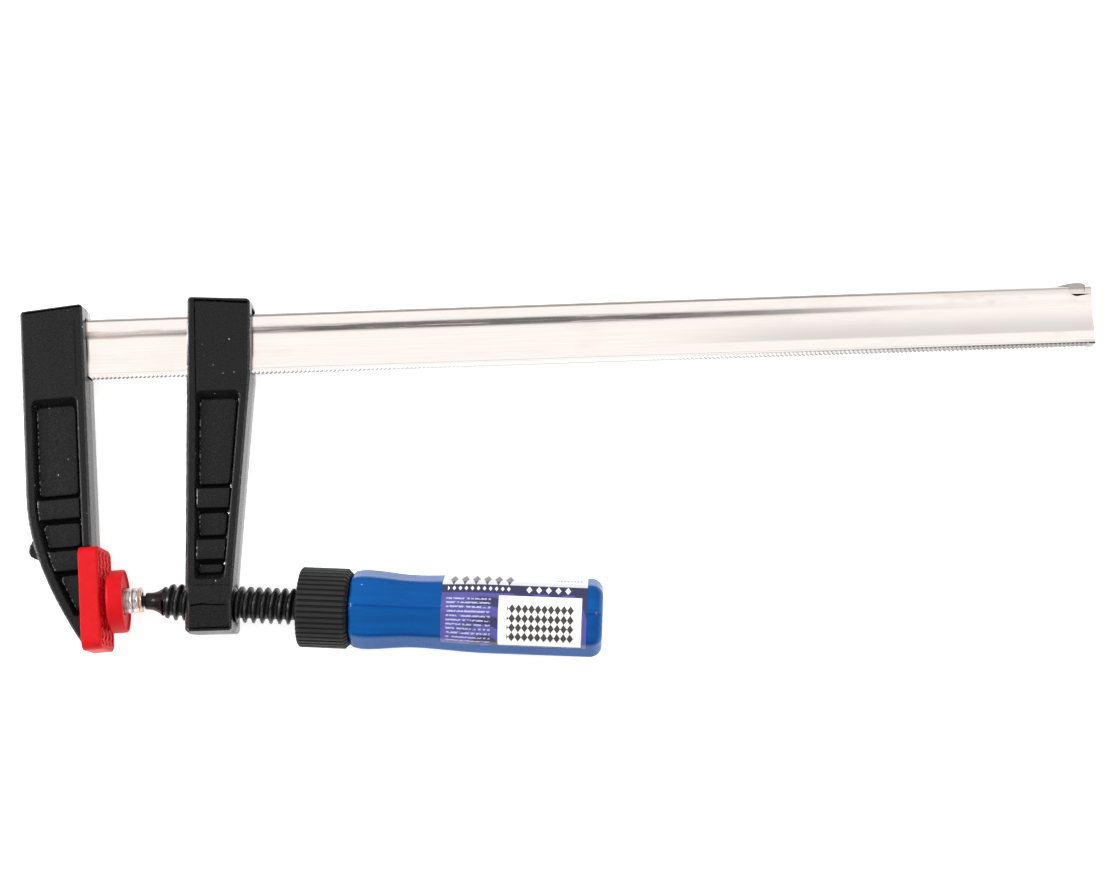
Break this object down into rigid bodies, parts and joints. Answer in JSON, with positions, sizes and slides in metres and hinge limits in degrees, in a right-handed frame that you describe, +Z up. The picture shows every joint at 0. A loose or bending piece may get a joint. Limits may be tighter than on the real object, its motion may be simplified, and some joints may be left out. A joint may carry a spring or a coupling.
{
  "type": "f-clamp",
  "caption": "Sliding-arm screw clamp: channelled rail, ribbed cast arms, red soft pads, swivelling pressure pad, threaded spindle with ribbed collar and blue faceted handle.",
  "frame": {"origin": "centre of the bottom of the bounding box, the clamp lying on its side with the pads closed", "axes": "+X along the rail from the fixed arm to the free end, +Y from the arms' tips towards the rail, +Z up out of the castings' flat side"},
  "size_m": [0.3776, 0.1304, 0.0276],
  "materials": {
    "rail_plate": "bright plated rolled steel with fine draw lines",
    "black_casting": "semi-gloss black enamel over a pebbled casting",
    "black_steel": "oiled black oxide",
    "plated_steel": "turned and bright plated",
    "soft_red": "satin soft moulded plastic",
    "black_plastic": "fine matt moulded plastic",
    "blue_lacquer": "thick glossy blue lacquer over turned wood"
  },
  "bodies": {
    "frame": {"rail": "rail_plate", "fixed_arm": "black_casting", "fixed_pad_cap": "soft_red"},
    "sliding_jaw": {"sliding_arm": "black_casting"},
    "swivel_seat": {"retaining_ring": "plated_steel"},
    "screw": {"spindle": "black_steel", "grip_collar": "black_plastic", "handle": "blue_lacquer"},
    "pressure_pad": {"pressure_plate": "plated_steel", "pressure_cap": "soft_red"}
  },
  "joints": [
    {"name": "arm_slide", "type": "slide", "parent": "frame", "child": "sliding_jaw", "axis": [1, 0, 0], "range_m": [0, 0.282]},
    {"name": "spindle_feed", "type": "slide", "parent": "sliding_jaw", "child": "swivel_seat", "axis": [0.9976, -0.0689, 0], "range_m": [0, 0.015]},
    {"name": "spindle_turn", "type": "hinge", "parent": "swivel_seat", "child": "screw", "pos_m": [-0.14848, -0.04088, 0.01379], "axis": [0.9976, -0.0689, 0], "range_deg": [0, 1800]},
    {"name": "pad_tilt", "type": "hinge", "parent": "swivel_seat", "child": "pressure_pad", "pos_m": [-0.14848, -0.04088, 0.01379], "axis": [0, 0, 1], "range_deg": [-6.2, 1.4]}
  ],
  "couplings": [
    {"joint": "spindle_feed", "follows": "spindle_turn", "m_per_rad": 0.00047746}
  ]
}
